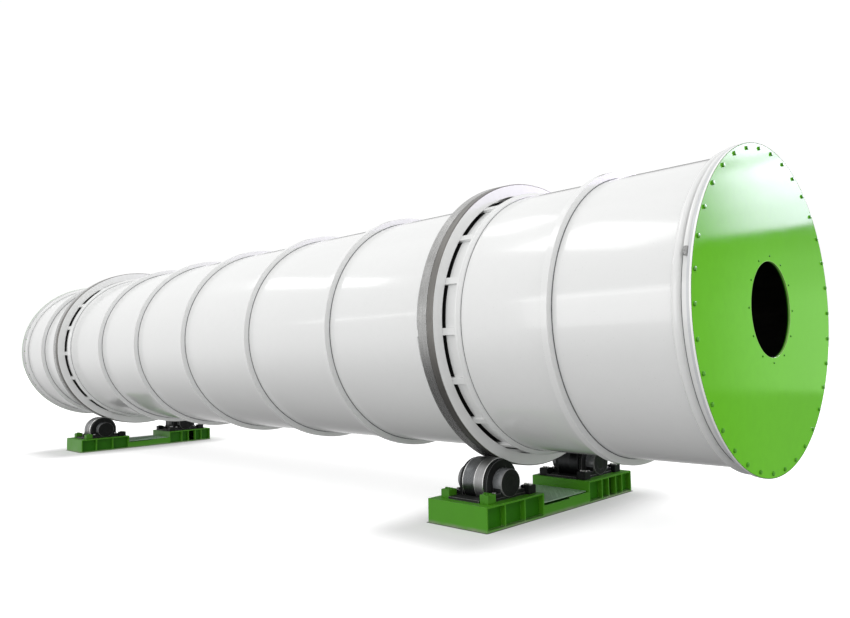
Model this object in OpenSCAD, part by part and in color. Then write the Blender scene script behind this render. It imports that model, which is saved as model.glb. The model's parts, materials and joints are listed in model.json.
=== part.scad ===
// Rotary drum dryer: a long shell carried by two riding rings on four
// support rollers. Millimetres, +Z up, drum axis along X, discharge end
// towards +X. The origin is under the middle of the drum, on the floor.

/* [Drum shell] */
// Outside diameter of the shell
shell_d = 2000; // [1900:10:2100]
// Thickness of the shell plate
shell_wall = 12; // [8:1:20]
// Length over the outer faces of the two end plates
drum_len = 11710; // [11600:10:12000]
// Distance of each joint ring's middle from the discharge end plate
ring_at = [1010, 3385, 4720, 6080, 7330, 8480, 10785]; // [900:5:10900]
// Height of a joint ring above the shell
ring_rise = 48; // [30:1:60]
// Width of a joint ring along the drum
ring_w = 55; // [40:1:80]

/* [End plates] */
// Thickness of an end plate
plate_t = 12; // [8:1:16]
// Height of an end plate's edge above the shell
plate_rise = 50; // [40:1:60]
// Diameter of the discharge opening
discharge_d = 610; // [400:10:800]
// Diameter of the feed opening
feed_d = 900; // [600:10:1100]
// Number of bolts in an end plate
plate_bolts = 34; // [24:1:48]
// Radius of the end plates' bolt circle above the shell
bolt_circle_rise = 18; // [16:1:22]

/* [Riding rings] */
// Outside diameter of a riding ring
tyre_d = 2250; // [2230:10:2300]
// Bore of a riding ring
tyre_bore = 2062; // [2050:2:2120]
// Width of a riding ring
tyre_w = 155; // [120:5:180]
// Distance of each riding ring's middle from the discharge end plate
tyre_at = [2020, 9855]; // [1900:5:10000]
// Number of filler pads under a riding ring
pad_count = 18; // [8:1:24]
// Angle that a filler pad covers
pad_angle = 2.8; // [2:0.2:6]

/* [Roller stations] */
// Distance of a station's middle from its riding ring, towards the discharge end
station_shift = 32; // [0:1:60]
// Size of a base frame along the drum
base_x = 600; // [560:10:700]
// Size of a base frame across the drum
base_y = 1780; // [1700:10:1900]
// Height of a pedestal of the base frame
base_h = 174; // [150:1:200]
// Length of a pedestal across the drum
pedestal_y = 610; // [580:5:640]
// Height of the low beam between the pedestals
beam_h = 90; // [70:1:110]

/* [Support rollers] */
// Diameter of a support roller
roller_d = 340; // [320:2:360]
// Width of a support roller
roller_w = 210; // [190:2:214]
// Distance of a roller's axis from the middle of the drum
roller_y = 560; // [540:5:580]
// Height of a roller's axis above the floor
roller_z = 284; // [280:1:300]
// Gap between a roller and its riding ring
roll_gap = 0.4; // [0.3:0.1:0.6]
// Diameter of a roller shaft in its bearings
journal_d = 80; // [60:2:90]

/* [Drum inside] */
// Number of lifting flights
flight_count = 12; // [8:1:16]
// Height of a lifting flight above the shell's inside
flight_h = 180; // [120:5:220]
// Number of feed vanes
vane_count = 6; // [4:1:8]

/* [Hidden] */
$fn = 96;
ENDS = ["discharge", "feed"];
SIDES = ["left", "right"];
CANS = len(ring_at) + 1;

green = "#63b52f";
dark_green = "#3f7d1f";
deck_green = "#7f9a86";
white = "#eef0ee";
steel = "#8d9290";
black = "#232624";

shell_r = shell_d / 2;
shell_in = shell_r - shell_wall;
plate_r = shell_r + plate_rise;
tyre_r = tyre_d / 2;
roller_r = roller_d / 2;
x_end = drum_len / 2;
// The drum rests on two rollers, so its height follows from theirs
axis_z = roller_z + sqrt(pow(tyre_r + roller_r + roll_gap, 2) - pow(roller_y, 2));
can_edges = concat([plate_t], ring_at, [drum_len - plate_t]);

// End rings: a thick bolting flange, a neck and a rounded stiffening ring
flange_t = 18;
flange_rise = 48;
neck_rise = 10;
neck_end = 66;
bead_rise = 34;
bead_w = 62;
end_ring_w = 136;

// Plate bolts, M16 with hexagon heads, in tapped holes
bolt_r = 8;
bolt_hole_r = 8.2;
bolt_head_af = 24;
bolt_head_h = 10;
bolt_circle = shell_r + bolt_circle_rise;

// Discharge opening: a flat collar riveted to the back of the plate stiffens its edge
collar_t = 8;
collar_w = 55;
rivet_count = 12;
rivet_r = 5;
rivet_head_r = 9;
rivet_circle = discharge_d / 2 + 34;

// Hoop rod in the neck of the discharge end ring
rod_r = 19;
rod_at = 50;
rod_angle = 150;

// Chamfer of a riding ring's edges
tyre_edge = 4;

// Wrapper under a riding ring: a plate with a stop flange at each side
wrapper_t = 8;
wrapper_gap = 155;
wrapper_half = tyre_w / 2 + wrapper_gap;
stop_w = 36;
stop_chamfer = 20;
pad_turn = 4;

// Parts of a roller station, measured from the station's middle
housing_x0 = 111;
housing_x1 = 138;
barrel_x1 = 224;
cap_t = 10;
spigot_t = 10;
arch_r = 160;
barrel_r = 100;
saddle_x1 = 211;
saddle_y = 95;
bearing_r = 70;
bearing_w = 33;
bearing_x = 160;
journal_gap = 0.05;
seal_gap = 1.5;
foot_x1 = 211;
foot_h = 28;
foot_bolt_x = 183;
foot_bolt_y = 132;
foot_bolt_r = 10;
foot_bolt_af = 30;
foot_bolt_h = 13;
foot_hole_r = 11;
slide_t = 18;
slide_z = base_h + slide_t;
// Half sizes of the slide plate: its long bar, and the wings under the feet
slide_bar = [155, 262];
slide_wing = [foot_x1 + 2, 170];
pocket_x = 114;
pocket_y = 158;
clamp_x = 200;
clamp_y = 215;
clamp_size = [85, 78, 62];
clamp_bolt_step = 26;
clamp_bolt_r = 10;
clamp_bolt_h = 9;
shaft_seat_r = 50;
shaft_gap = 3;
hub_r = 90;
face_recess = 6;
rim_t = 28;
rim_edge = 5;

// Base frame: pedestals of plate with ribs, and a low beam with a deck
frame_t = 12;
web_inset = 45;
rib_t = 10;
rib_inset = 2;
left_ribs = [-701, -493];
right_ribs = [464, 559, 663, 754];
pedestal_in = base_y / 2 - pedestal_y;
beam_step = 30;
beam_low = 80;
beam_rib_x = 150;
deck_t = 8;
deck_x = 270;
deck_gap = 2;
anchor_x = 277;
anchor_y = 850;
anchor_r = 11;

// Lifting flights and feed vanes, as distances from the discharge end plate
flight_from = 2300;
flight_to = 10500;
flight_t = 8;
flight_lip = 70;
vane_from = 10650;
vane_to = 11500;
vane_h = 150;
vane_twist = 50;
vane_gap = 2;

function station_x(e) = x_end - tyre_at[e] + station_shift;

// Puts a shape that is drawn along +Z on the drum's axis, starting at distance d
// from the discharge face; its angle 0 points down and 180 points up
module on_drum(d) translate([x_end - d, 0, axis_z]) rotate([0, 90, 0]) children();

module ring(r_in, r_out, w) rotate_extrude() translate([r_in, 0]) square([r_out - r_in, w]);

// A ring of children on a circle of radius r
module around(count, r) for (i = [0:count - 1])
    rotate((i + 0.5) * 360 / count) translate([r, 0, 0]) children();

// A hexagon bolt whose head sits on z = 0 and whose shank goes down
module hex_bolt(r, af, head_h, len) {
    cylinder(d = af / cos(30), h = head_h, $fn = 6);
    translate([0, 0, -len]) cylinder(r = r, h = len);
}

// ---- Drum ----

module shell_can(i) color(white)
    on_drum(can_edges[i]) ring(shell_in, shell_r, can_edges[i] - can_edges[i - 1]);

module joint_rings() color(white)
    for (d = ring_at) on_drum(d + ring_w / 2) ring(shell_r, shell_r + ring_rise, ring_w);

// Outline of an end ring, from the end plate inwards along +Y
module end_ring_profile() {
    bead_mid = neck_end + bead_w / 2;
    intersection() {
        union() {
            translate([shell_r, 0]) square([flange_rise, flange_t]);
            translate([shell_r, 0]) square([neck_rise, neck_end]);
            translate([shell_r, neck_end]) square([neck_rise / 2, end_ring_w - neck_end]);
            translate([shell_r + neck_rise / 2, bead_mid]) circle(r = bead_rise - neck_rise / 2);
        }
        translate([shell_r, 0]) square([plate_rise, end_ring_w]);
    }
}

module end_ring() difference() {
    rotate_extrude() end_ring_profile();
    around(plate_bolts, bolt_circle) translate([0, 0, -1]) cylinder(r = bolt_hole_r, h = flange_t + 2);
}

module discharge_end_ring() color(white) on_drum(plate_t) mirror([0, 0, 1]) end_ring();

module feed_end_ring() color(white) on_drum(drum_len - plate_t) end_ring();

module end_plate(opening_d) difference() {
    ring(opening_d / 2, plate_r, plate_t);
    around(plate_bolts, bolt_circle) translate([0, 0, -1]) cylinder(r = bolt_hole_r, h = plate_t + 2);
}

module at_rivets() rotate(180 / rivet_count) around(rivet_count, rivet_circle) children();

module discharge_plate() color(green) on_drum(plate_t) difference() {
    end_plate(discharge_d);
    at_rivets() translate([0, 0, -1]) cylinder(r = rivet_r, h = plate_t + 2);
}

module feed_plate() color(green) on_drum(drum_len) end_plate(feed_d);

module plate_bolt_ring() around(plate_bolts, bolt_circle)
    hex_bolt(bolt_r, bolt_head_af, bolt_head_h, plate_t + flange_t);

module discharge_plate_bolts() color(green) on_drum(0) plate_bolt_ring();

module feed_plate_bolts() color(green) on_drum(drum_len) mirror([0, 0, 1]) plate_bolt_ring();

module opening_collar() color(dark_green) on_drum(plate_t + collar_t) difference() {
    ring(discharge_d / 2, discharge_d / 2 + collar_w, collar_t);
    at_rivets() translate([0, 0, -1]) cylinder(r = rivet_r, h = collar_t + 2);
}

module opening_rivets() color(green) on_drum(0) at_rivets() {
    intersection() {
        translate([0, 0, rivet_r - rivet_head_r]) sphere(r = rivet_head_r);
        cylinder(r = rivet_head_r, h = rivet_head_r);
    }
    translate([0, 0, -plate_t - collar_t]) cylinder(r = rivet_r, h = plate_t + collar_t);
    translate([0, 0, -plate_t - collar_t - rivet_r]) cylinder(r = rivet_head_r, h = rivet_r);
}

module hoop_rod() color(white) on_drum(rod_at)
    rotate(180 - rod_angle / 2)
        rotate_extrude(angle = rod_angle, $fn = 360)
            translate([shell_r + neck_rise + rod_r, 0]) circle(r = rod_r, $fn = 24);

module riding_ring(e) color(steel) on_drum(tyre_at[e] + tyre_w / 2) rotate_extrude()
    polygon([[tyre_bore / 2, 0], [tyre_r - tyre_edge, 0], [tyre_r, tyre_edge],
        [tyre_r, tyre_w - tyre_edge], [tyre_r - tyre_edge, tyre_w], [tyre_bore / 2, tyre_w]]);

module wrapper(e) color(white) on_drum(tyre_at[e] + wrapper_half) rotate_extrude() {
    stop_r = tyre_bore / 2;
    w = 2 * wrapper_half;
    polygon([[shell_r, 0], [stop_r - stop_chamfer, 0], [stop_r, stop_chamfer], [stop_r, stop_w],
        [shell_r + wrapper_t, stop_w], [shell_r + wrapper_t, w - stop_w], [stop_r, w - stop_w],
        [stop_r, w - stop_chamfer], [stop_r - stop_chamfer, w], [shell_r, w]]);
}

module filler_pads(e) color(white) on_drum(tyre_at[e] + wrapper_half - stop_w)
    for (i = [0:pad_count - 1]) rotate((i + 0.5) * 360 / pad_count + pad_turn - pad_angle / 2)
        rotate_extrude(angle = pad_angle) translate([shell_r + wrapper_t, 0])
            square([tyre_bore / 2 - shell_r - wrapper_t, 2 * (wrapper_half - stop_w)]);

module lifting_flights() color(steel) on_drum(flight_to) intersection() {
    cylinder(r = shell_in, h = flight_to - flight_from);
    for (i = [0:flight_count - 1]) rotate(i * 360 / flight_count) {
        translate([shell_in - flight_h, -flight_t / 2, 0])
            cube([flight_h + shell_wall, flight_t, flight_to - flight_from]);
        translate([shell_in - flight_h, flight_t / 2 - 1, 0])
            cube([flight_t, flight_lip, flight_to - flight_from]);
    }
}

module feed_vanes() color(steel) on_drum(vane_to)
    for (i = [0:vane_count - 1]) rotate(i * 360 / vane_count)
        linear_extrude(height = vane_to - vane_from, twist = vane_twist, slices = 12, $fn = 8)
            translate([shell_in - vane_h - vane_gap, -flight_t / 2]) square([vane_h, flight_t]);

// ---- Roller stations ----

// The pocket that a roller turns in
module roller_pocket(z0, h) for (s = [-1, 1])
    translate([-pocket_x, s * roller_y - pocket_y, z0]) cube([2 * pocket_x, 2 * pocket_y, h]);

module block(x, y, z) translate([x[0], y[0], z[0]]) cube([x[1] - x[0], y[1] - y[0], z[1] - z[0]]);

// One pedestal, on the side given by s; ribs lists the places of its ribs
module pedestal(s, ribs) {
    x_out = base_x / 2;
    y_out = base_y / 2;
    xs = [-x_out, x_out];
    ys = s > 0 ? [pedestal_in, y_out] : [-y_out, -pedestal_in];
    block(xs, ys, [0, frame_t]);
    block(xs, ys, [base_h - frame_t, base_h]);
    for (y = [ys[0], ys[1] - frame_t])
        block(xs, [y, y + frame_t], [0, base_h]);
    for (x = [web_inset - x_out, x_out - web_inset - frame_t])
        block([x, x + frame_t], ys, [0, base_h]);
    for (y = ribs) for (dir = [0, 1]) mirror([dir, 0, 0])
        block([x_out - web_inset - 1, x_out - rib_inset], [y - rib_t / 2, y + rib_t / 2], [0, base_h - 1]);
}

// The low beam between the pedestals; its end plates are cut down over part of their length
module beam() {
    x_out = base_x / 2;
    ys = [-pedestal_in, pedestal_in];
    block([-x_out, x_out], ys, [0, frame_t]);
    for (x = [-x_out, x_out - frame_t]) {
        block([x, x + frame_t], ys, [0, beam_low]);
        block([x, x + frame_t], [beam_step, pedestal_in], [0, beam_h]);
    }
    for (x = [-beam_rib_x, beam_rib_x])
        block([x - rib_t / 2, x + rib_t / 2], ys, [0, beam_h]);
}

module base_frame(e) color(dark_green) translate([station_x(e), 0, 0]) difference() {
    union() {
        pedestal(-1, left_ribs);
        pedestal(1, right_ribs);
        beam();
    }
    roller_pocket(base_h - frame_t - 1, frame_t + 2);
    for (x = [-anchor_x, anchor_x]) for (y = [-anchor_y, anchor_y])
        translate([x, y, -1]) cylinder(r = anchor_r, h = frame_t + 2);
    // Hand hole in the web behind the right-hand pocket
    block([base_x / 2 - web_inset - frame_t - 1, base_x / 2 - web_inset + 2],
        [right_ribs[1] + rib_t / 2, right_ribs[2] - rib_t / 2], [frame_t, base_h - frame_t]);
}

module deck_plate(e) color(deck_green) translate([station_x(e), 0, beam_h])
    block([-deck_x, deck_x], [deck_gap - pedestal_in, pedestal_in - deck_gap], [0, deck_t]);

module slide_plate(e, s) color(black) translate([station_x(e), 0, 0]) difference() {
    translate([0, s * roller_y, 0]) {
        for (half = [slide_bar, slide_wing])
            block([-half[0], half[0]], [-half[1], half[1]], [base_h, slide_z]);
    }
    roller_pocket(base_h - 1, slide_t + 2);
}

module clamp_block() {
    translate([-clamp_size[0] / 2, -clamp_size[1] / 2, 0]) cube(clamp_size);
    for (x = [-clamp_bolt_step, 0, clamp_bolt_step]) translate([x, 0, clamp_size[2]])
        cylinder(r = clamp_bolt_r, h = clamp_bolt_h, $fn = 6);
}

module clamp_blocks(e) color(green)
    for (s = [-1, 1]) for (x = [-1, 1]) for (y = [-1, 1])
        translate([station_x(e) + x * clamp_x, s * roller_y + y * clamp_y, base_h]) clamp_block();

// Everything on a roller's axis is drawn along +X from the roller's middle
module on_roller(e, s, dir) translate([station_x(e), s * roller_y, roller_z])
    mirror([dir < 0 ? 1 : 0, 0, 0]) children();

module along_x(x0) translate([x0, 0, 0]) rotate([0, 90, 0]) children();

module foot_holes(r) for (y = [-foot_bolt_y, foot_bolt_y])
    translate([foot_bolt_x, y, slide_z - roller_z - 1]) cylinder(r = r, h = foot_h + 2);

module housing(e, s, dir) color(black) on_roller(e, s, dir) difference() {
    down = slide_z - roller_z;
    union() {
        along_x(housing_x0) cylinder(r = arch_r, h = housing_x1 - housing_x0);
        block([housing_x0, housing_x1], [-arch_r, arch_r], [down, 0]);
        block([housing_x0, foot_x1], [-arch_r, arch_r], [down, down + foot_h]);
        block([housing_x1 - 1, saddle_x1], [-saddle_y, saddle_y], [down, 0]);
        along_x(housing_x1 - 1) cylinder(r = barrel_r, h = barrel_x1 - cap_t - housing_x1 + 1);
    }
    along_x(housing_x0 - 1) cylinder(r = journal_d / 2 + seal_gap, h = barrel_x1);
    along_x(bearing_x - bearing_w / 2) cylinder(r = bearing_r, h = barrel_x1);
    // Flat underside, where the housing stands on its slide plate
    block([0, barrel_x1], [-arch_r - 1, arch_r + 1], [down - arch_r, down]);
    foot_holes(foot_hole_r);
}

module end_cap() {
    along_x(barrel_x1 - cap_t) cylinder(r = barrel_r, h = cap_t);
    along_x(bearing_x + bearing_w / 2) rotate_extrude()
        translate([bearing_r - spigot_t, 0])
            square([spigot_t, barrel_x1 - cap_t - bearing_x - bearing_w / 2]);
}

module end_caps(e) color(black)
    for (s = [-1, 1]) for (dir = [-1, 1]) on_roller(e, s, dir) end_cap();

module bearings(e, s) color(steel) for (dir = [-1, 1]) on_roller(e, s, dir)
    along_x(bearing_x - bearing_w / 2) ring(journal_d / 2 + journal_gap, bearing_r, bearing_w);

module station_bolts(e) color(steel)
    for (s = [-1, 1]) for (dir = [-1, 1]) on_roller(e, s, dir)
        for (y = [-foot_bolt_y, foot_bolt_y])
            translate([foot_bolt_x, y, slide_z - roller_z + foot_h])
                hex_bolt(foot_bolt_r, foot_bolt_af, foot_bolt_h, foot_h);

module roller(e, s) color(steel) on_roller(e, s, 1) along_x(-roller_w / 2) {
    rim_in = roller_r - rim_t;
    rotate_extrude() polygon([[shaft_seat_r, 0], [hub_r, 0], [hub_r, face_recess], [rim_in, face_recess],
        [rim_in, 0], [roller_r - rim_edge, 0], [roller_r, rim_edge], [roller_r, roller_w - rim_edge],
        [roller_r - rim_edge, roller_w], [rim_in, roller_w], [rim_in, roller_w - face_recess],
        [hub_r, roller_w - face_recess], [hub_r, roller_w], [shaft_seat_r, roller_w]]);
}

module roller_shaft(e, s) color(steel) on_roller(e, s, 1) {
    half = barrel_x1 - cap_t - shaft_gap;
    along_x(-half) cylinder(r = journal_d / 2, h = 2 * half);
    along_x(-roller_w / 2) cylinder(r = shaft_seat_r, h = roller_w);
}

for (i = [1:CANS]) shell_can(i);
joint_rings();
discharge_end_ring();
feed_end_ring();
discharge_plate();
feed_plate();
discharge_plate_bolts();
feed_plate_bolts();
opening_collar();
opening_rivets();
hoop_rod();
lifting_flights();
feed_vanes();
for (e = [0, 1]) {
    riding_ring(e);
    wrapper(e);
    filler_pads(e);
    base_frame(e);
    deck_plate(e);
    clamp_blocks(e);
    station_bolts(e);
    end_caps(e);
    for (i = [0, 1]) {
        s = 2 * i - 1;
        at = str(ENDS[e], "_", SIDES[i]);
        slide_plate(e, s);
        housing(e, s, 1);
        housing(e, s, -1);
        bearings(e, s);
        roller(e, s);
        roller_shaft(e, s);
    }
}
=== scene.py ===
"""Looks of a rotary drum dryer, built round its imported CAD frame.

Metres, +Z up. The drum's axis runs along X, and its discharge end is towards +X.
"""

import json
import math
import random

import bmesh
import bpy
from mathutils import Matrix, Vector, noise

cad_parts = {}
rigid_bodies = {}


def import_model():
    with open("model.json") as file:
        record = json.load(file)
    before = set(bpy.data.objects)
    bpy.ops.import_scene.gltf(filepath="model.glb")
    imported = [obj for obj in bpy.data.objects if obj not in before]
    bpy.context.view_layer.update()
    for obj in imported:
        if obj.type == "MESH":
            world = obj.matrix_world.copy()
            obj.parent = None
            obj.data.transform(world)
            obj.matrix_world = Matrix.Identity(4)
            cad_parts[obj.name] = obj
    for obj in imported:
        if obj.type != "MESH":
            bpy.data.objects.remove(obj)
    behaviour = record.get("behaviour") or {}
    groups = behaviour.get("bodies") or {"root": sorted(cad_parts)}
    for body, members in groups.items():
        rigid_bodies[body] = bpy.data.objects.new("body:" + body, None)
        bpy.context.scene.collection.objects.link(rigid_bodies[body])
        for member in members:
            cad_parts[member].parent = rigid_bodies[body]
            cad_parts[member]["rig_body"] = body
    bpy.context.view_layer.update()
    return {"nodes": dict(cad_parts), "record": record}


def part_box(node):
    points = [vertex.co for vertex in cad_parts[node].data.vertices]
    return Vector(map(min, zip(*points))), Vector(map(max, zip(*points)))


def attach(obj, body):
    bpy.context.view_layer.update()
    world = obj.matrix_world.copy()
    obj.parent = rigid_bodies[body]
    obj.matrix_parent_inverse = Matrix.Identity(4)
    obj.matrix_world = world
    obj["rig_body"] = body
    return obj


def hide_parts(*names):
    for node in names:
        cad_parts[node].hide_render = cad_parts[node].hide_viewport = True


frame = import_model()
random.seed(7)

# -------- sizes from the frame

ENDS = ("discharge", "feed")
SIDES = ("left", "right")
SLOTS = {row["node"]: row["material_slot"] for row in frame["record"]["subparts"]}
CANS = sum(name.startswith("shell_can_") for name in frame["nodes"])


def reach(node):
    """Half of a node's height: the outer radius of anything turned about its own axis."""
    low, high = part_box(node)
    return (high.z - low.z) / 2


def middle(node):
    low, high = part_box(node)
    return (low + high) / 2


def outward(end, node):
    """Which way an end of the drum looks along X, and the X of a node's outer and inner face."""
    low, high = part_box(node)
    return (1, high.x, low.x) if end == "discharge" else (-1, low.x, high.x)


AXIS_Z = middle("shell_can_1").z
SHELL_R = reach("shell_can_1")
SHELL_WALL = 0.012
SHELL_IN = SHELL_R - SHELL_WALL
X_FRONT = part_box("discharge_plate")[1].x
PLATE_T = X_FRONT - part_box("shell_can_1")[1].x
PLATE_R = reach("discharge_plate")
RING_R = reach("joint_rings")
RING_X = [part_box(f"shell_can_{i}")[0].x for i in range(1, CANS)]
RING_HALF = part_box("joint_rings")[1].x - RING_X[0]
TYRE_BORE = reach("wrapper_discharge")
TYRE_R = reach("riding_ring_discharge") - 0.0003  # the CAD's ring has flats that narrow it so much across Y
OPENING_R = {"discharge": 0.305, "feed": 0.45}
BOLT_COUNT = 34
BOLT_CIRCLE = SHELL_R + 0.018
RIVET_COUNT = 12
RIVET_CIRCLE = OPENING_R["discharge"] + 0.034
BARREL_R = reach("end_caps_discharge")
ROUND = 192  # steps of a big turned part
FINE = 64  # steps of a small turned part
SKIN_STEP = 0.07  # length of the strips of the shell's skin
SEATED = 0.0002  # how far a washer is sunk, so that no gap shows under it

# -------- materials


class Tree:
    """The node tree of a material or of the world, with short ways to make the nodes used here."""

    def __init__(self, owner, coordinates="Object"):
        owner.use_nodes = True
        self.nodes = owner.node_tree.nodes
        self.links = owner.node_tree.links
        self.place = self.nodes.new("ShaderNodeTexCoord").outputs[coordinates]

    def axis(self, which):
        """One coordinate of the shaded place."""
        split = self.nodes.new("ShaderNodeSeparateXYZ")
        self.links.new(self.place, split.inputs["Vector"])
        return split.outputs[which]

    def span(self, value, given, wanted):
        """Takes the range given to the range wanted, levelling off softly at both ends."""
        made = self.nodes.new("ShaderNodeMapRange")
        made.interpolation_type = "SMOOTHSTEP"
        for socket, number in zip(("From Min", "From Max", "To Min", "To Max"), (*given, *wanted)):
            made.inputs[socket].default_value = number
        self.links.new(value, made.inputs["Value"])
        return made.outputs["Result"]

    def maths(self, operation, a, b):
        """Each of a and b is a number or an output."""
        made = self.nodes.new("ShaderNodeMath")
        made.operation = operation
        for socket, value in zip(made.inputs, (a, b)):
            if isinstance(value, (int, float)):
                socket.default_value = value
            else:
                self.links.new(value, socket)
        return made.outputs["Value"]


class Finish(Tree):
    """A surface material. Its textures read object coordinates, so they move with the part."""

    def __init__(self, name):
        self.material = bpy.data.materials.new(name)
        super().__init__(self.material)
        self.shader = self.nodes["Principled BSDF"]

    def set(self, **values):
        for name, value in values.items():
            self.shader.inputs[name.replace("_", " ")].default_value = value

    def join(self, output, socket):
        self.links.new(output, self.shader.inputs[socket])

    def noise(self, scale, detail=3.0, stretch=(1, 1, 1), distortion=0.0):
        mapping = self.nodes.new("ShaderNodeMapping")
        mapping.inputs["Scale"].default_value = stretch
        self.links.new(self.place, mapping.inputs["Vector"])
        made = self.nodes.new("ShaderNodeTexNoise")
        for socket, number in (("Scale", scale), ("Detail", detail), ("Distortion", distortion)):
            made.inputs[socket].default_value = number
        self.links.new(mapping.outputs["Vector"], made.inputs["Vector"])
        return made.outputs["Fac"]

    def off_box(self, low, high, shift=(0.0, 0.0)):
        """How far a place lies outside a box's outline on the floor, moved by shift."""
        squares = []
        for i in (0, 1):
            off = self.maths("SUBTRACT", self.axis(i), (low[i] + high[i]) / 2 + shift[i])
            off = self.maths("SUBTRACT", self.maths("ABSOLUTE", off, 0.0), (high[i] - low[i]) / 2)
            squares.append(self.maths("POWER", self.maths("MAXIMUM", off, 0.0), 2.0))
        return self.maths("SQRT", self.maths("ADD", *squares), 0.0)

    def near_bases(self):
        """Painted shadow on the floor: soft on the near side of each base frame, and a dark contact line
        under its edge.
        """
        shade = None
        for end in ENDS:
            low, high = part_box(f"base_frame_{end}")
            # Painted shadow: a soft shade beside each base frame, and a dark line right under its edge.
            soft = self.span(self.off_box(low, high, (0.05, -0.2)), (0, 0.6), (0.42, 0))
            contact_shadow = self.span(self.off_box(low, high), (0.010, 0.024), (0.96, 0))
            here = self.maths("MAXIMUM", soft, contact_shadow)
            shade = here if shade is None else self.maths("MAXIMUM", shade, here)
        return shade

    def mix(self, share, a, b):
        """Colour a where share is 0 and colour b where it is 1; each is a colour or an output."""
        made = self.nodes.new("ShaderNodeMix")
        made.data_type = "RGBA"
        self.links.new(share, made.inputs["Factor"])
        for socket, value in zip((made.inputs[6], made.inputs[7]), (a, b)):
            if isinstance(value, tuple):
                socket.default_value = (*value, 1)
            else:
                self.links.new(value, socket)
        return made.outputs[2]

    def bump(self, heights):
        """Bumps from (height output, depth in metres) pairs, chained."""
        last = None
        for value, depth in heights:
            made = self.nodes.new("ShaderNodeBump")
            made.inputs["Strength"].default_value = 1.0
            made.inputs["Distance"].default_value = depth
            self.links.new(value, made.inputs["Height"])
            if last is not None:
                self.links.new(last, made.inputs["Normal"])
            last = made.outputs["Normal"]
        self.join(last, "Normal")


RUST = (0.10, 0.045, 0.02)
WORKS_DUST = (0.05, 0.05, 0.045)


def tinted(colour, by):
    return tuple(min(1.0, max(0.0, c * by)) for c in colour)


def paint(name, colour, rough=0.25, coat=0.25, drift=0.06, dust=None, peel=0.00004, level=0.5, wear=0.10):
    """Sprayed paint: slow drift of tone, fine mottling, orange peel, and dust near the floor where asked.

    dust is the height of full dust, the height where it ends, and its colour.
    """
    f = Finish(name)
    slow = f.span(f.noise(0.9, 2), (0.3, 0.7), (0, 1))
    mottled = f.span(f.noise(14, 5, distortion=0.4), (0.35, 0.7), (0, 1))
    tone = f.mix(slow, colour, tinted(colour, 1 - drift))
    tone = f.mix(f.maths("MULTIPLY", mottled, 0.5), tone, tinted(colour, 1 - 1.5 * drift))
    specks = f.span(f.noise(95, 4), (0.66, 0.74), (0, 0.35))
    tone = f.mix(specks, tone, tinted(colour, 0.72))
    worn = f.span(f.noise(3.2, 4), (0.35, 0.75), (rough - wear / 2, rough + wear))
    if dust:
        low, high, dust_colour = dust
        share = f.span(f.axis("Z"), (low, high), (1, 0))
        share = f.maths("MULTIPLY", share, f.span(f.noise(9, 5), (0.3, 0.7), (0.25, 0.9)))
        tone = f.mix(share, tone, dust_colour)
        worn = f.maths("ADD", worn, f.maths("MULTIPLY", share, 0.3))
    f.join(tone, "Base Color")
    f.join(worn, "Roughness")
    f.set(Specular_IOR_Level=level, Coat_Weight=coat, Coat_Roughness=0.08)
    f.bump([(f.noise(420, 2), peel), (f.noise(26, 3), peel * 1.5)])
    return f.material


def steel(name, colour, rough, grain, grain_depth=0.00003, rust=0.0):
    """Bare machined steel: turning lines along the stretched noise, uneven polish, and rust where asked."""
    f = Finish(name)
    lines = f.noise(60, 4, stretch=grain)
    bands = f.span(f.noise(11, 3, stretch=grain), (0.3, 0.7), (0, 1))
    tone = f.mix(bands, colour, tinted(colour, 0.78))
    tone = f.mix(f.span(lines, (0.35, 0.65), (0, 0.6)), tone, tinted(colour, 1.18))
    stain = f.span(f.noise(5.5, 5, distortion=0.8), (0.45, 0.8), (0, 1))
    tone = f.mix(f.maths("MULTIPLY", stain, 0.35), tone, tinted(colour, 0.6))
    polish = f.span(lines, (0.3, 0.7), (rough - 0.06, rough + 0.1))
    if rust:
        spots = f.span(f.noise(17, 6), (0.62 - rust * 0.2, 0.72), (0, 1))
        tone = f.mix(spots, tone, RUST)
        polish = f.maths("ADD", polish, f.maths("MULTIPLY", spots, 0.35))
    f.join(tone, "Base Color")
    f.join(polish, "Roughness")
    f.set(Metallic=1.0)
    f.bump([(lines, grain_depth), (f.noise(34, 4), grain_depth)])
    return f.material


def casting(name, colour, rough=0.36, coat=0.35, level=0.5):
    """Painted cast iron: a sandy skin under the paint, with rubbed patches."""
    f = Finish(name)
    patches = f.span(f.noise(6, 4), (0.35, 0.7), (0, 1))
    tone = f.mix(patches, colour, tinted(colour, 1.7))
    dusty = f.span(f.noise(38, 5), (0.55, 0.8), (0, 0.25))
    tone = f.mix(dusty, tone, WORKS_DUST)
    f.join(tone, "Base Color")
    f.join(f.span(f.noise(21, 4), (0.3, 0.7), (rough - 0.08, rough + 0.14)), "Roughness")
    f.set(Specular_IOR_Level=level, Coat_Weight=coat, Coat_Roughness=0.2)
    f.bump([(f.noise(260, 3), 0.00015), (f.noise(40, 3), 0.0003)])
    return f.material


def scaled(name, colour):
    """Hot-rolled plate inside the drum: dark mill scale with streaks of dried product."""
    f = Finish(name)
    streaks = f.span(f.noise(7, 6, stretch=(0.25, 1, 1)), (0.4, 0.75), (0, 1))
    tone = f.mix(streaks, colour, tinted(colour, 2.2))
    f.join(tone, "Base Color")
    f.join(f.span(f.noise(12, 5), (0.3, 0.7), (0.55, 0.85)), "Roughness")
    f.set(Metallic=0.2, Specular_IOR_Level=0.3)
    f.bump([(f.noise(55, 5), 0.0006)])
    return f.material


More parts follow.
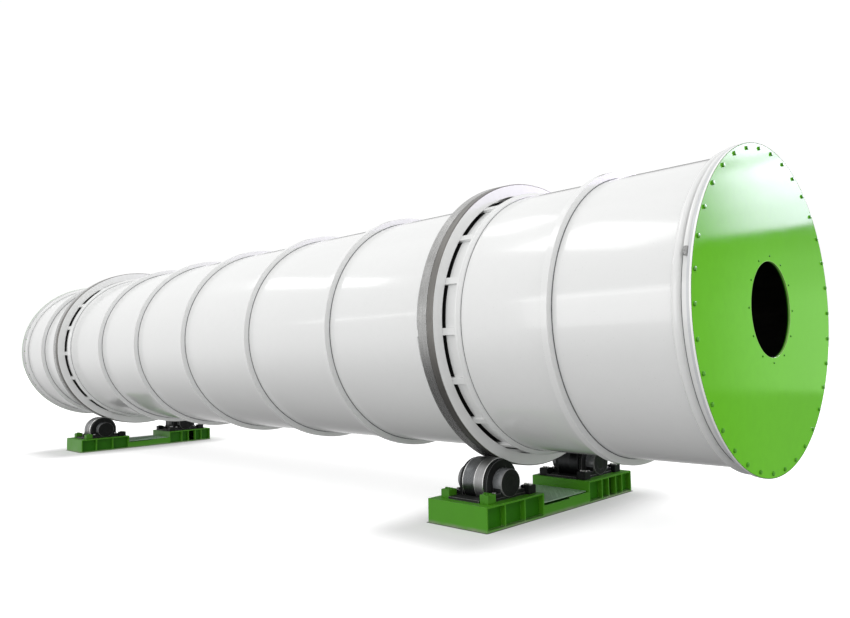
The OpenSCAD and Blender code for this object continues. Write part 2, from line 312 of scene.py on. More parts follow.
def rubber(name, colour):
    """Joint sealant, matt and slightly uneven."""
    f = Finish(name)
    f.join(f.mix(f.span(f.noise(30, 4), (0.3, 0.7), (0, 1)), colour, tinted(colour, 1.6)), "Base Color")
    f.join(f.span(f.noise(18, 3), (0.3, 0.7), (0.5, 0.75)), "Roughness")
    f.set(Specular_IOR_Level=0.35)
    f.bump([(f.noise(120, 3), 0.0003)])
    return f.material


WHITE = (0.78, 0.785, 0.78)
GREEN = (0.135, 0.50, 0.018)
BASE_GREEN = (0.062, 0.26, 0.009)
FLOOR_DUST = (0.22, 0.23, 0.17)
RINGWISE = (14, 0.4, 0.4)  # fine lines round the drum's axis
FINISH = {
    "white_paint": paint("white_paint", WHITE, rough=0.17, coat=0.45, drift=0.015, wear=0.03, peel=0.00002),
    "bright_green_paint": paint("bright_green_paint", GREEN, rough=0.09, coat=0.0, drift=0.05, wear=0.03),
    "base_green_paint": paint(
        "base_green_paint", BASE_GREEN, rough=0.4, coat=0.0, level=0.2, dust=(0.0, 0.03, FLOOR_DUST)
    ),
    "deck_paint": paint("deck_paint", (0.42, 0.62, 0.43), rough=0.3, drift=0.18),
    "ring_steel": steel("ring_steel", (0.50, 0.50, 0.49), 0.3, RINGWISE),
    "roller_steel": steel("roller_steel", (0.29, 0.29, 0.29), 0.42, RINGWISE, grain_depth=0.00001),
    "shaft_steel": steel("shaft_steel", (0.50, 0.50, 0.50), 0.25, RINGWISE),
    "bearing_steel": steel("bearing_steel", (0.62, 0.62, 0.62), 0.18, RINGWISE),
    "slide_steel": paint("slide_steel", (0.016, 0.018, 0.016), rough=0.5, coat=0.0, drift=0.3, level=0.15),
    "black_paint": casting("black_paint", (0.006, 0.0065, 0.0065), rough=0.5, coat=0.0, level=0.15),
    "bolt_steel": steel("bolt_steel", (0.40, 0.40, 0.39), 0.32, (1, 1, 1), rust=0.3),
    "flight_steel": scaled("flight_steel", (0.022, 0.020, 0.018)),
}
BARE_TREAD = steel("bare_tread", (0.18, 0.175, 0.165), 0.4, RINGWISE)
POLISHED_TREAD = steel("polished_tread", (0.37, 0.37, 0.365), 0.25, RINGWISE)
DARK_TREAD = steel("dark_tread", (0.14, 0.145, 0.15), 0.3, RINGWISE)
# Pale steel: painted highlight on the rollers' edges and shoulder.
STEEL_EDGE_HIGHLIGHT = steel("painted_highlight_steel_edge", (0.80, 0.80, 0.79), 0.3, RINGWISE)
# Near black steel for screws, grease nipples and the rollers' faces; all over the right-hand rollers it is
# painted shade.
DARK_STEEL = steel("dark_steel", (0.030, 0.031, 0.032), 0.4, RINGWISE)
BARREL_PAINT = casting("barrel_paint", (0.10, 0.104, 0.108), rough=0.26, coat=0.7)
# Darker green: painted shade on the base frames' recessed webs; the opening collar and its rivets take it
# too.
DARK_GREEN = paint("shaded_green_paint", (0.026, 0.160, 0.004), rough=0.4, coat=0.0, drift=0.15, level=0.1)
# Paler green: painted highlight on rounded edges and on the lip of the end plate's opening.
GREEN_EDGE_HIGHLIGHT = paint("painted_highlight_green_edge", (0.29, 0.62, 0.13), rough=0.4, drift=0.2, level=0.3)
# Paler grey on the rounded edges of the slide plates and plummer blocks.
PALE_BLACK_EDGE = casting("pale_black_edge", (0.10, 0.10, 0.10), rough=0.3)
CLAMP_GREEN = paint("clamp_green_paint", (0.055, 0.22, 0.010), rough=0.4, coat=0.0, drift=0.2, level=0.2)
CAP_RIM = casting("cap_rim", (0.11, 0.11, 0.11), rough=0.3)
# Near black: painted shade in the gap between each riding ring and the shell.
GAP_SHADE = paint("painted_gap_shade", (0.010, 0.010, 0.010), rough=0.6, coat=0.0, level=0.1)
# The end plate's rim: white paint, brighter than the drum's white as a painted highlight.
RIM_WHITE_HIGHLIGHT = paint("rim_white_and_highlight_paint", (0.93, 0.935, 0.92), rough=0.25, drift=0.02)
# The flange's rim: the drum's white made grey, as painted shade.
FLANGE_SHADE_WHITE = paint("flange_painted_shade_white", (0.60, 0.61, 0.63), rough=0.3, drift=0.04)
RIM_GREEN = paint("plate_rim_paint", (0.050, 0.16, 0.008), rough=0.5, coat=0.0, drift=0.1, level=0.1)
SEALANT = rubber("sealant", (0.11, 0.115, 0.12))
BOLT_PAINT = paint("bolt_head_paint", (0.075, 0.32, 0.014), rough=0.22, coat=0.3, drift=0.1)
ZINC = steel("zinc_fittings", (0.33, 0.33, 0.33), 0.3, (1, 1, 1))

# -------- making pieces


def rounded(points, radius, steps=3, closed=True):
    """An outline with its corners rounded; a point on each side of an arc keeps the flats flat.

    A point's third number, where it has one, is its own radius.
    """
    made = []
    count = len(points)
    for i, point in enumerate(points):
        here = Vector(point[:2])
        size = point[2] if len(point) > 2 else radius
        ends = not closed and i in (0, count - 1)
        if ends or size <= 0:
            made.append(tuple(here))
            continue
        before = Vector(points[i - 1][:2]) - here
        after = Vector(points[(i + 1) % count][:2]) - here
        size = min(size, 0.4 * before.length, 0.4 * after.length)
        a, b = before.normalized(), after.normalized()
        made.append(tuple(here + a * size * 1.2))
        for k in range(steps + 1):
            t = k / steps
            made.append(tuple(here + a * size * (1 - t) ** 2 + b * size * t**2))
        made.append(tuple(here + b * size * 1.2))
    return made


def mirrored(half, low, high):
    """An outline from half of it: its points' places along X are depths from low, and then from high."""
    return [(low + d, *rest) for d, *rest in half] + [(high - d, *rest) for d, *rest in reversed(half)]


def circle(place, radius, z, steps=24):
    """Points of a circle round a place's own Z axis, at the height z."""
    turns = [2 * math.pi * i / steps for i in range(steps)]
    return [place @ Vector((radius * math.cos(turn), radius * math.sin(turn), z)) for turn in turns]


def hexagon(place, across, z, share=1.0, steps=24):
    """Points of a hexagon that is across wide, cut off at a share of its corners' radius."""
    made = []
    for i in range(steps):
        turn = 2 * math.pi * i / steps
        radius = across / 2 / math.cos((turn % (math.pi / 3)) - math.pi / 6)
        radius = min(radius, across / 2 / math.cos(math.pi / 6) * share)
        made.append(place @ Vector((radius * math.cos(turn), radius * math.sin(turn), z)))
    return made


def in_scene(name, mesh, materials, sharp=32):
    """An object of a mesh, shaded smooth except where it turns by more than sharp degrees."""
    for material in materials:
        mesh.materials.append(material)
    mesh.shade_smooth()
    mesh.set_sharp_from_angle(angle=math.radians(sharp))
    made = bpy.data.objects.new(name, mesh)
    bpy.context.scene.collection.objects.link(made)
    return made


class Shape:
    """Collects vertices and faces, and makes one piece of them."""

    def __init__(self):
        self.verts, self.faces, self.marks = [], [], []

    def add(self, verts, faces, marks=0):
        start = len(self.verts)
        self.verts += [tuple(v) for v in verts]
        self.faces += [tuple(start + i for i in face) for face in faces]
        self.marks += marks if isinstance(marks, list) else [marks] * len(faces)
        return self

    def turned(self, outline, centre=(0.0, AXIS_Z), steps=ROUND, marks=None, bend=None):
        """A closed outline of (x, radius) points turned about a line along X through centre, (y, z).

        marks gives the material slot of the strip between two points, and bend moves a point.
        """
        count = len(outline)
        verts, faces, marked = [], [], []
        for i in range(steps):
            angle = 2 * math.pi * i / steps
            for x, radius in outline:
                if bend:
                    x, radius = bend(x, radius, angle)
                verts.append((x, centre[0] + radius * math.sin(angle), centre[1] + radius * math.cos(angle)))
        for i in range(steps):
            here, there = i * count, (i + 1) % steps * count
            for j in range(count):
                k = (j + 1) % count
                faces.append((here + j, there + j, there + k, here + k))
                marked.append(marks(outline[j], outline[k]) if marks else 0)
        return self.add(verts, faces, marked)

    def swept(self, rings, mark=0):
        """Faces between rings of points, each ring closed, and a face at both ends."""
        count = len(rings[0])
        verts = [v for ring in rings for v in ring]
        faces = []
        for i in range(len(rings) - 1):
            for j in range(count):
                k = (j + 1) % count
                faces.append((i * count + j, i * count + k, (i + 1) * count + k, (i + 1) * count + j))
        faces.append(tuple(reversed(range(count))))
        faces.append(tuple((len(rings) - 1) * count + j for j in range(count)))
        self.add(verts, faces, mark)

    def block(self, low, high, mark=0):
        xs, ys, zs = zip(low, high)
        corners = [(x, y, z) for x in xs for y in ys for z in zs]
        faces = [(0, 1, 3, 2), (4, 6, 7, 5), (0, 4, 5, 1), (2, 3, 7, 6), (0, 2, 6, 4), (1, 5, 7, 3)]
        return self.add(corners, faces, mark)

    def bolt(self, place, across, head, washer, shank, length, mark=0, spread=0.62):
        """A hexagon bolt with a chamfered head on a washer, whose radius is spread times across.

        Local +Z points out of the surface it stands on.
        """
        washer_r = across * spread
        top = washer + head
        crown_r = 0.8 * across / 2 / math.cos(math.pi / 6)
        disc = [(washer_r, 0), (washer_r, washer * 0.8), (washer_r * 0.96, washer)]
        self.swept([circle(place, radius, z) for radius, z in disc], mark)
        sides = [hexagon(place, across, washer), hexagon(place, across, top - head * 0.2)]
        sides.append(hexagon(place, across, top - head * 0.06, 0.93))
        self.swept([*sides, circle(place, crown_r, top)], mark)
        self.swept([circle(place, shank, -length, 12), circle(place, shank, 0, 12)], mark)

    def piece(self, name, materials, sharp=32, weld=True):
        mesh = bpy.data.meshes.new(name)
        mesh.from_pydata(self.verts, [], self.faces)
        mesh.polygons.foreach_set("material_index", self.marks)
        work = bmesh.new()
        work.from_mesh(mesh)
        if weld:
            bmesh.ops.remove_doubles(work, verts=work.verts, dist=1e-6)
        bmesh.ops.recalc_face_normals(work, faces=work.faces)
        work.to_mesh(mesh)
        work.free()
        return in_scene(name, mesh, materials, sharp)

    def stands_for(self, node, materials, sharp=32, weld=True, kind="skin"):
        """One piece in the place of a CAD node."""
        stand_for(self.piece(f"{node}_{kind}", materials, sharp, weld), node)


def softened(piece, width, edge_mark=None):
    """Rounds the piece's hard edges; edge_mark is the material slot that the rounded strips take."""
    bevel = piece.modifiers.new("edges", "BEVEL")
    bevel.width = width
    bevel.segments = 2
    bevel.limit_method = "ANGLE"
    bevel.angle_limit = math.radians(40)
    bevel.harden_normals = True
    if edge_mark is not None:
        bevel.material = edge_mark
    graph = bpy.context.evaluated_depsgraph_get()
    piece.data = bpy.data.meshes.new_from_object(piece.evaluated_get(graph))
    piece.modifiers.clear()
    return piece


def from_cad(node, materials, width, edge_mark=None, pick=None):
    """A piece from a CAD node's shape and in its place, its flat faces joined up and its edges rounded.

    pick gives a face's material slot from its middle and its normal.
    """
    work = bmesh.new()
    work.from_mesh(frame["nodes"][node].data)
    bmesh.ops.remove_doubles(work, verts=work.verts, dist=2e-5)
    bmesh.ops.dissolve_limit(
        work, angle_limit=math.radians(0.6), verts=work.verts, edges=work.edges, delimit=set()
    )
    mesh = bpy.data.meshes.new(f"{node}_detailed")
    work.to_mesh(mesh)
    work.free()
    chosen = [pick(face.center, face.normal) if pick else 0 for face in mesh.polygons]
    mesh.polygons.foreach_set("material_index", chosen)
    stand_for(softened(in_scene(f"{node}_detailed", mesh, materials), width, edge_mark), node)


def stand_for(piece, node):
    """The piece takes the place of a CAD node: its body."""
    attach(piece, frame["nodes"][node]["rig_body"])
    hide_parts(node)


def added(piece, body, slot=None):
    """A piece that the CAD has no node for, such as a weld bead."""
    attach(piece, body)


# -------- drum shell


def wavy(low, high, seed):
    """Rolled plate is never quite round: it is drawn in at the welds and ripples a little between them."""
    swell, shiver, draw_in, draw_reach = 0.0007, 0.0003, 0.0010, 0.11

    def bend(x, radius, angle):
        if radius < SHELL_R - 0.001:
            return x, radius
        point = Vector((x * 1.1, 1.7 * math.cos(angle), 1.7 * math.sin(angle) + seed))
        ripple = swell * (noise.noise(point) - 0.6) + shiver * (noise.noise(point * 3.1) - 0.6)
        edge = min(x - low, high - x)
        return x, radius + ripple - draw_in * math.exp(-((edge / draw_reach) ** 2))

    return bend


def shell_can(index):
    node = f"shell_can_{index}"
    low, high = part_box(node)
    steps = max(8, round((high.x - low.x) / SKIN_STEP))
    outside = [(low.x + (high.x - low.x) * i / steps, SHELL_R) for i in range(steps + 1)]
    inside = [(high.x, SHELL_IN), (low.x, SHELL_IN)]

    def marks(a, b):
        return 0 if a[1] > SHELL_IN and b[1] > SHELL_IN else 1

    shape = Shape().turned(outside + inside, marks=marks, bend=wavy(low.x, high.x, 9.0 * index))
    shape.stands_for(node, [FINISH["white_paint"], FINISH["flight_steel"]])


def shell_seams():
    """The lengthwise weld of each can, staggered so that no two meet at a joint ring."""
    shape = Shape()
    end_gap, ripple_pitch, sunk = 0.035, 0.011, 0.0009
    for index in range(1, CANS + 1):
        low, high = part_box(f"shell_can_{index}")
        angle = math.radians(35 + (index % 2) * 70 + 13 * (index % 3))
        start, stop = low.x + end_gap, high.x - end_gap
        steps = round((stop - start) / ripple_pitch)
        rings = []
        for i in range(steps + 1):
            x = start + (stop - start) * i / steps
            rise = 0.0011 + 0.0005 * (i % 2)
            half = [(0.007, -0.003), (0.006, 0), (0.002, rise)]
            ring = []
            for across, up in [(-across, up) for across, up in half] + half[::-1]:
                turn = angle + across / SHELL_R
                radius = SHELL_R - sunk + up
                ring.append((x, radius * math.sin(turn), AXIS_Z + radius * math.cos(turn)))
            rings.append(ring)
        shape.swept(rings)
    added(shape.piece("shell_seams", [FINISH["white_paint"]], sharp=60), "drum", "white_paint")


def joint_rings():
    shape = Shape()
    foot = SHELL_R - 0.002  # just inside the shell
    for x in RING_X:
        outline = mirrored([(0, foot, 0), (0, RING_R)], x - RING_HALF, x + RING_HALF)
        shape.turned(rounded(outline, 0.003))
    shape.stands_for("joint_rings", [FINISH["white_paint"]])


def bead(shape, x, side, radius, size):
    """A fillet bead round the drum where a face at x, looking towards side, meets a surface at radius."""
    lap, sunk = 0.001, 0.003
    outline = [(x - side * lap, radius - sunk), (x - side * lap, radius + size)]
    for k in range(1, 4):
        turn = k * math.pi / 8
        outline.append((x + side * size * 0.8 * math.sin(turn), radius + size * 0.8 * math.cos(turn)))
    outline += [(x + side * size, radius), (x + side * size, radius - sunk)]
    shape.turned(outline)


def sealant_beads():
    """The dark line at the foot of each ring on the shell."""
    shape = Shape()
    foot = SHELL_R - 0.001
    for x in RING_X:
        for side in (-1, 1):
            bead(shape, x + side * RING_HALF, side, foot, 0.005)
    for end in ENDS:
        low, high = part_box(f"wrapper_{end}")
        bead(shape, high.x, 1, foot, 0.0035)
        bead(shape, low.x, -1, foot, 0.0035)
    added(shape.piece("sealant_beads", [SEALANT], sharp=60), "drum")


# -------- drum ends

FLANGE_T = 0.018
NECK_RISE = 0.010
NECK_END = 0.066
BEAD_MID = 0.097
BEAD_R = 0.029
END_RING_W = 0.136
ROD_R = 0.019


def end_ring(end):
    """Bolting flange, neck and round stiffening bead."""
    node = f"{end}_end_ring"
    side, face, _ = outward(end, node)

    def at(d):
        return face - side * d

    neck = SHELL_R + NECK_RISE
    ridge = SHELL_R + NECK_RISE / 2
    foot = SHELL_R - 0.001  # just inside the shell
    rim = reach(node)
    front = [(at(0), foot, 0), (at(0), rim), (at(FLANGE_T), rim), (at(FLANGE_T), neck, 0.002)]
    front += [(at(NECK_END), neck), (at(NECK_END), ridge, 0)]
    outline = rounded(front, 0.002, closed=False)
    for k in range(15):
        turn = math.pi * k / 14
        outline.append((at(BEAD_MID - BEAD_R * math.cos(turn)), ridge + BEAD_R * math.sin(turn)))
    back = [(at(BEAD_MID + BEAD_R), ridge, 0), (at(END_RING_W), ridge), (at(END_RING_W), foot, 0)]
    outline += rounded(back, 0.002, closed=False)[1:]

    # The flange's rim takes the greyer white, as painted shade.
    def marks(a, b):
        return 1 if min(a[1], b[1]) > rim - 0.003 else 0

    shape = Shape().turned(outline, marks=marks)
    shape.stands_for(node, [FINISH["white_paint"], FLANGE_SHADE_WHITE], sharp=40)
    shape = Shape()
    bead(shape, at(END_RING_W), -side, foot, 0.003)
    bead(shape, at(BEAD_MID - BEAD_R), side, neck - 0.001, 0.0025)
    added(shape.piece(f"{end}_end_sealant", [SEALANT], sharp=60), "drum")


def end_plate(end):
    """A disc dished by a hair, so that what it mirrors isn't perfectly straight."""
    node = f"{end}_plate"
    side, outer, inner = outward(end, node)
    hole = OPENING_R[end]
    margin, steps, sag = 0.006, 16, 0.0006
    face_r = PLATE_R - margin
    face = [(outer, face_r - (face_r - margin - hole) * i / steps) for i in range(steps + 1)]
    edge = [(inner, PLATE_R, 0), (outer, PLATE_R), (outer, face_r, 0)]
    lip = [(outer, hole + 0.008, 0), (outer, hole), (inner, hole, 0)]
    outline = [(inner, hole), (inner, PLATE_R), *rounded(edge, 0.002, closed=False)[1:-1]]
    outline += [(outer, PLATE_R - 0.005), *face, *rounded(lip, 0.003, closed=False)[1:-1]]

    def bend(x, radius, angle):
        if abs(x - outer) > 1e-6:
            return x, radius
        point = Vector((1.4 * radius * math.cos(angle), 1.4 * radius * math.sin(angle), 3.0))
        return x - side * sag * (0.6 - noise.noise(point)) * min(1, (PLATE_R - radius) / 0.1), radius

    def marks(a, b):
        lower, upper = sorted((a[1], b[1]))
        if lower > PLATE_R - 0.0015:
            return 1  # the rim, painted white, brighter than the white paint as a painted highlight
        if lower > PLATE_R - 0.0055:
            return 2  # a dark line inside it
        return 3 if hole < upper < hole + 0.004 else 0  # painted highlight on the lip of the opening, or the face

    shape = Shape().turned(outline, bend=bend, marks=marks)
    looks = [FINISH["bright_green_paint"], RIM_WHITE_HIGHLIGHT, RIM_GREEN, GREEN_EDGE_HIGHLIGHT]
    shape.stands_for(node, looks)


def facing(x, radius, angle, side, spin=0.0, centre=(0.0, AXIS_Z)):
    """A place round a line along X whose local +Z looks along side * X, spun about it by spin."""
    z_axis = Vector((side, 0, 0))
    x_axis = Vector((0, math.sin(angle + spin), math.cos(angle + spin)))
    place = Matrix((x_axis, z_axis.cross(x_axis), z_axis)).transposed().to_4x4()
    place.translation = (x, centre[0] + radius * math.sin(angle), centre[1] + radius * math.cos(angle))
    return place


def plate_bolts(end):
    node = f"{end}_plate_bolts"
    side, tip, _ = outward(end, node)
    face = outward(end, f"{end}_plate")[1]
    across, washer, shank = 0.024, 0.001, 0.008  # M16
    shape = Shape()
    for i in range(BOLT_COUNT):
        angle = 2 * math.pi * (i + 0.5) / BOLT_COUNT
        place = facing(face - side * SEATED, BOLT_CIRCLE, angle, side, spin=random.uniform(0, math.pi / 3))
        head = abs(tip - face) - washer
        shape.bolt(place, across, head, washer, shank, PLATE_T + FLANGE_T, spread=0.5)
    shape.stands_for(node, [BOLT_PAINT], weld=False, kind="detailed")


def opening_collar():
    """The flat ring behind the plate that stiffens the edge of the opening."""
    node = "opening_collar"
    low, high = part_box(node)
    outline = mirrored([(0, OPENING_R["discharge"]), (0, reach(node))], low.x, high.x)
    shape = Shape().turned(rounded(outline, 0.0015))
    shape.stands_for(node, [DARK_GREEN])


def opening_rivets():
    """Round-headed rivets, closed by a flat head at the back."""
    node = "opening_rivets"
    low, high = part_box(node)
    shape = Shape()
    shank, tail, head_r, sunk = 0.005, 0.009, 0.0065, 0.001
    for i in range(RIVET_COUNT):
        angle = 2 * math.pi * i / RIVET_COUNT
        centre = (RIVET_CIRCLE * math.sin(angle), AXIS_Z + RIVET_CIRCLE * math.cos(angle))
        outline = [(low.x, 0.0), (low.x, tail - 0.001), (low.x + 0.001, tail), (low.x + shank, tail)]
        outline += [(low.x + shank, shank), (X_FRONT - sunk, shank), (X_FRONT - sunk, head_r)]
        for k in range(6):
            turn = k * math.pi / 12
            outline.append((X_FRONT + (high.x - X_FRONT) * math.sin(turn), head_r * math.cos(turn)))
        outline.append((high.x, 0.0))
        shape.turned(outline, centre=centre, steps=20)
    shape.stands_for(node, [DARK_GREEN], kind="detailed")


def hoop_rod():
    """The bent bar over the top of the discharge neck, with a bare sleeve at each end."""
    node = "hoop_rod"
    low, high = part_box(node)
    radius = high.z - AXIS_Z - ROD_R
    half = math.acos((low.z - AXIS_Z) / (radius - ROD_R))
    shape = Shape()
    steps, sides = 120, 20
    rings = []
    for i in range(steps + 1):
        turn = -half + 2 * half * i / steps
        thickness = ROD_R * (0.85 if i in (0, steps) else 1.0)
        ring = []
        for j in range(sides):
            round_bar = 2 * math.pi * j / sides
            r = radius + thickness * math.cos(round_bar)
            x = (low.x + high.x) / 2 + thickness * math.sin(round_bar)
            ring.append((x, r * math.sin(turn), AXIS_Z + r * math.cos(turn)))
        rings.append(ring)
    shape.swept(rings)
    sleeve = 2 * sides  # bare faces at each end of the bar, besides the two cut faces
    shape.marks[:sleeve] = [1] * sleeve
    shape.marks[-sleeve - 2 :] = [1] * (sleeve + 2)
    shape.stands_for(node, [FINISH["white_paint"], ZINC], sharp=50)


# -------- riding rings


def riding_ring(end):
    """The tread's polished rear is a hair higher than its bare front, and a fine groove parts them."""
    node = f"riding_ring_{end}"
    low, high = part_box(node)
    groove = high.x - 0.38 * (high.x - low.x)
    worn_r, floor_r = TYRE_R - 0.0012, TYRE_R - 0.004
    outline = [(low.x, TYRE_BORE), (low.x, TYRE_R, 0.005), (groove - 0.004, TYRE_R, 0.001)]
    outline += [(groove - 0.003, floor_r, 0.0005), (groove, floor_r, 0.0005)]
    outline += [(groove + 0.001, worn_r, 0.001), (high.x, worn_r, 0.006), (high.x, TYRE_BORE)]

    def marks(a, b):
        if max(a[1], b[1]) < TYRE_BORE + 0.001:
            return 3  # bore, painted near black as painted shade in the gap
        if min(a[1], b[1]) < TYRE_R - 0.0085:
            return 0  # side faces
        return 1 if max(a[0], b[0]) <= groove - 0.002 else 2

    shape = Shape().turned(rounded(outline, 0.003), marks=marks, steps=256)
    materials = [FINISH["white_paint"], POLISHED_TREAD, BARE_TREAD, GAP_SHADE]
    shape.stands_for(node, materials, sharp=40)


def wrapper(end):
    """A sheet with a chamfered stop flange at each side, painted near black under the riding ring as painted
    shade in the gap.
    """
    node = f"wrapper_{end}"
    low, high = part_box(node)
    sheet_r, foot = SHELL_R + 0.008, SHELL_R - 0.0005
    stop_w, chamfer = 0.036, 0.020
    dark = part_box(f"riding_ring_{end}")[0].x - 0.010 - low.x
    half = [(0, foot, 0), (0, TYRE_BORE - chamfer), (chamfer, TYRE_BORE), (stop_w, TYRE_BORE)]
    half += [(stop_w, sheet_r, 0.004), (dark, sheet_r, 0)]

    def marks(a, b):
        return 1 if min(a[0] - low.x, b[0] - low.x, high.x - a[0], high.x - b[0]) >= dark - 1e-6 else 0

    shape = Shape().turned(rounded(mirrored(half, low.x, high.x), 0.002), marks=marks)
    shape.stands_for(node, [FINISH["white_paint"], GAP_SHADE])


def filler_pads(end):
    from_cad(f"filler_pads_{end}", [FINISH["white_paint"]], 0.0018)


# -------- roller stations


def base_frame(end):
    """Plate girders; the webs behind the ribs that face along X are painted darker green as painted shade,
    and the rounded edges paler green as painted highlight.
    """
    node = f"base_frame_{end}"
    low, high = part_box(node)

    def pick(spot, normal):
        recessed = low.x + 0.02 < spot.x < high.x - 0.02
        # Recessed webs facing along X take the darker green, as painted shade.
        return 2 if abs(normal.x) > 0.9 and recessed and spot.z < high.z - 0.003 else 0

    materials = [FINISH["base_green_paint"], GREEN_EDGE_HIGHLIGHT, DARK_GREEN]
    from_cad(node, materials, 0.005, edge_mark=1, pick=pick)


def deck_plate(end):
    """Chequer plate: raised lozenges, each square to its neighbours."""
    node = f"deck_plate_{end}"
    low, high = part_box(node)
    rise, pitch, half_long, half_short = 0.0014, 0.026, 0.0105, 0.0032
    top = high.z - rise
    shape = Shape().block(low, (high.x, high.y, top))
    columns, rows = int((high.x - low.x) / pitch) - 1, int((high.y - low.y) / pitch) - 1
    narrow = Matrix.Diagonal((1, half_short / half_long, 1, 1))
    for i in range(columns + 1):
        for j in range(rows + 1):
            x = (low.x + high.x) / 2 + (i - columns / 2) * pitch
            y = (low.y + high.y) / 2 + (j - rows / 2) * pitch
            turn = math.pi / 4 if (i + j) % 2 else -math.pi / 4
            place = Matrix.Translation((x, y, 0)) @ Matrix.Rotation(turn, 4, "Z") @ narrow
            foot = circle(place, half_long, top - 0.0005, 8)
            shape.swept([foot, circle(place, half_long * 0.55, high.z, 8)])
    shape.stands_for(node, [FINISH["deck_paint"]], weld=False, kind="detailed")


def slide_plate(end, side):
    from_cad(f"slide_plate_{end}_{side}", [FINISH["slide_steel"], PALE_BLACK_EDGE], 0.0015, edge_mark=1)


def spun(spot):
    """A place that looks up, turned by chance as a tightened bolt is."""
    return Matrix.Translation(spot) @ Matrix.Rotation(random.uniform(0, 1), 4, "Z")


def clamp_blocks(end):
    """Blocks with three bolts each that hold the slide plates down."""
    node = f"clamp_blocks_{end}"
    low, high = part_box(node)
    half_x, half_y, top, pitch = 0.085 / 2, 0.078 / 2, low.z + 0.062, 0.026
    across, washer, shank, length = 0.019, 0.0015, 0.005, 0.01
    off_y = high.y - half_y - middle(f"roller_{end}_right").y
    shape, bolts = Shape(), Shape()
    for side in SIDES:
        for x in (low.x + half_x, high.x - half_x):
            for dy in (-off_y, off_y):
                y = middle(f"roller_{end}_{side}").y + dy
                # The outer pair on the left was painted with the base; the others are painted black as
                # painted shade, for they lie in shadow
                mark = 0 if side == "left" and dy < 0 else 1
                shape.block((x - half_x, y - half_y, low.z), (x + half_x, y + half_y, top), mark)
                for dx in (-pitch, 0, pitch):
                    place = spun((x + dx, y, top - SEATED))
                    bolts.bolt(place, across, high.z - top - washer, washer, shank, length, mark)
    blocks = shape.piece(f"{node}_detailed", [CLAMP_GREEN, FINISH["black_paint"]])
    stand_for(softened(blocks, 0.003), node)
    looks = [CLAMP_GREEN, FINISH["bolt_steel"]]
    added(bolts.piece(f"clamp_bolts_{end}", looks, weld=False), "supports", SLOTS[node])


def station_bolts(end):
    """M20 bolts through the plummer blocks' feet."""
    foot_x, foot_y, foot_t = 0.183, 0.132, 0.028
    across, head, washer, shank, length = 0.030, 0.010, 0.003, 0.010, 0.027
    shape = Shape()
    for side in SIDES:
        centre = middle(f"roller_{end}_{side}")
        for part, way in (("front", 1), ("back", -1)):
            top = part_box(f"housing_{part}_{end}_{side}")[0].z + foot_t
            for dy in (-foot_y, foot_y):
                place = spun((centre.x + way * foot_x, centre.y + dy, top - SEATED))
                shape.bolt(place, across, head, washer, shank, length)
    shape.stands_for(f"station_bolts_{end}", [FINISH["bolt_steel"]], weld=False, kind="detailed")


def housing(end, side, part):
    """A cast plummer block with its arched guard plate."""
    node = f"housing_{part}_{end}_{side}"
    centre = middle(f"roller_{end}_{side}")

    def pick(spot, normal):
        off_axis = math.hypot(spot.y - centre.y, spot.z - centre.z)
        return 2 if abs(normal.x) < 0.1 and abs(off_axis - BARREL_R) < 0.004 else 0

    materials = [FINISH["black_paint"], PALE_BLACK_EDGE, BARREL_PAINT]
    from_cad(node, materials, 0.002, edge_mark=1, pick=pick)


def end_caps(end):
    """Bearing covers: a stepped disc with six screws, and a spigot behind it."""
    node = f"end_caps_{end}"
    low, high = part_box(node)
    dish, flange, spigot, spigot_in, spigot_out = 0.003, 0.010, 0.040, 0.060, 0.070
    screw_circle, across, head, washer = 0.083, 0.013, 0.0032, 0.001
    section = [(dish, 0.0, 0), (dish, 0.056), (0, 0.060), (0, BARREL_R, 0.0025), (flange, BARREL_R, 0.001)]
    section += [(flange, spigot_out, 0), (spigot, spigot_out - 0.001, 0), (spigot, spigot_in, 0)]
    section += [(flange, spigot_in, 0), (flange, 0.0, 0)]

    def marks(a, b):
        return 1 if min(a[1], b[1]) > BARREL_R - 0.003 else 0

    shape, screws = Shape(), Shape()
    for side in SIDES:
        centre = middle(f"roller_{end}_{side}").yz
        for way, face in ((1, high.x), (-1, low.x)):
            outline = rounded([(face - way * d, *rest) for d, *rest in section], 0.0015)
            shape.turned(outline, centre=centre, steps=FINE, marks=marks)
            for k in range(6):
                turn = math.pi / 3 * k + math.pi / 6
                place = facing(face - way * 0.0045, screw_circle, turn, way, -turn, centre)
                screws.bolt(place, across, head, washer, 0.003, 0.004)
    shape.stands_for(node, [FINISH["black_paint"], CAP_RIM], sharp=40)
    added(screws.piece(f"cap_screws_{end}", [DARK_STEEL], weld=False), "supports", "bolt_steel")


def grease_nipples(end):
    """One on top of each plummer block, in stages of a radius between two heights."""
    stages = ((0.008, 0, 0.006), (0.004, 0.006, 0.013), (0.0055, 0.013, 0.017), (0.003, 0.017, 0.021))
    shape = Shape()
    for side in SIDES:
        centre = middle(f"roller_{end}_{side}")
        for way in (-1, 1):
            place = Matrix.Translation((centre.x + way * 0.175, centre.y, centre.z + BARREL_R - 0.001))
            for radius, low, high in stages:
                shape.swept([circle(place, radius, low, 12), circle(place, radius, high, 12)])
    added(shape.piece(f"grease_nipples_{end}", [DARK_STEEL], weld=False), "supports")


def bearings(end, side):
    """Outer and inner rings of each bearing, with a shield between them."""
    node = f"bearings_{end}_{side}"
    low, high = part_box(node)
    width = 0.033
    rings = ((0.0401, 0.050, 0), (0.050, 0.060, 0.003), (0.060, 0.070, 0))  # inner, outer, inset
    shape = Shape()
    for x in (low.x, high.x - width):
        for inner, outer, inset in rings:
            outline = rounded(mirrored([(inset, inner), (inset, outer)], x, x + width), 0.001)
            shape.turned(outline, centre=middle(f"roller_{end}_{side}").yz, steps=FINE)
    shape.stands_for(node, [FINISH["bearing_steel"]], weld=False, kind="detailed")


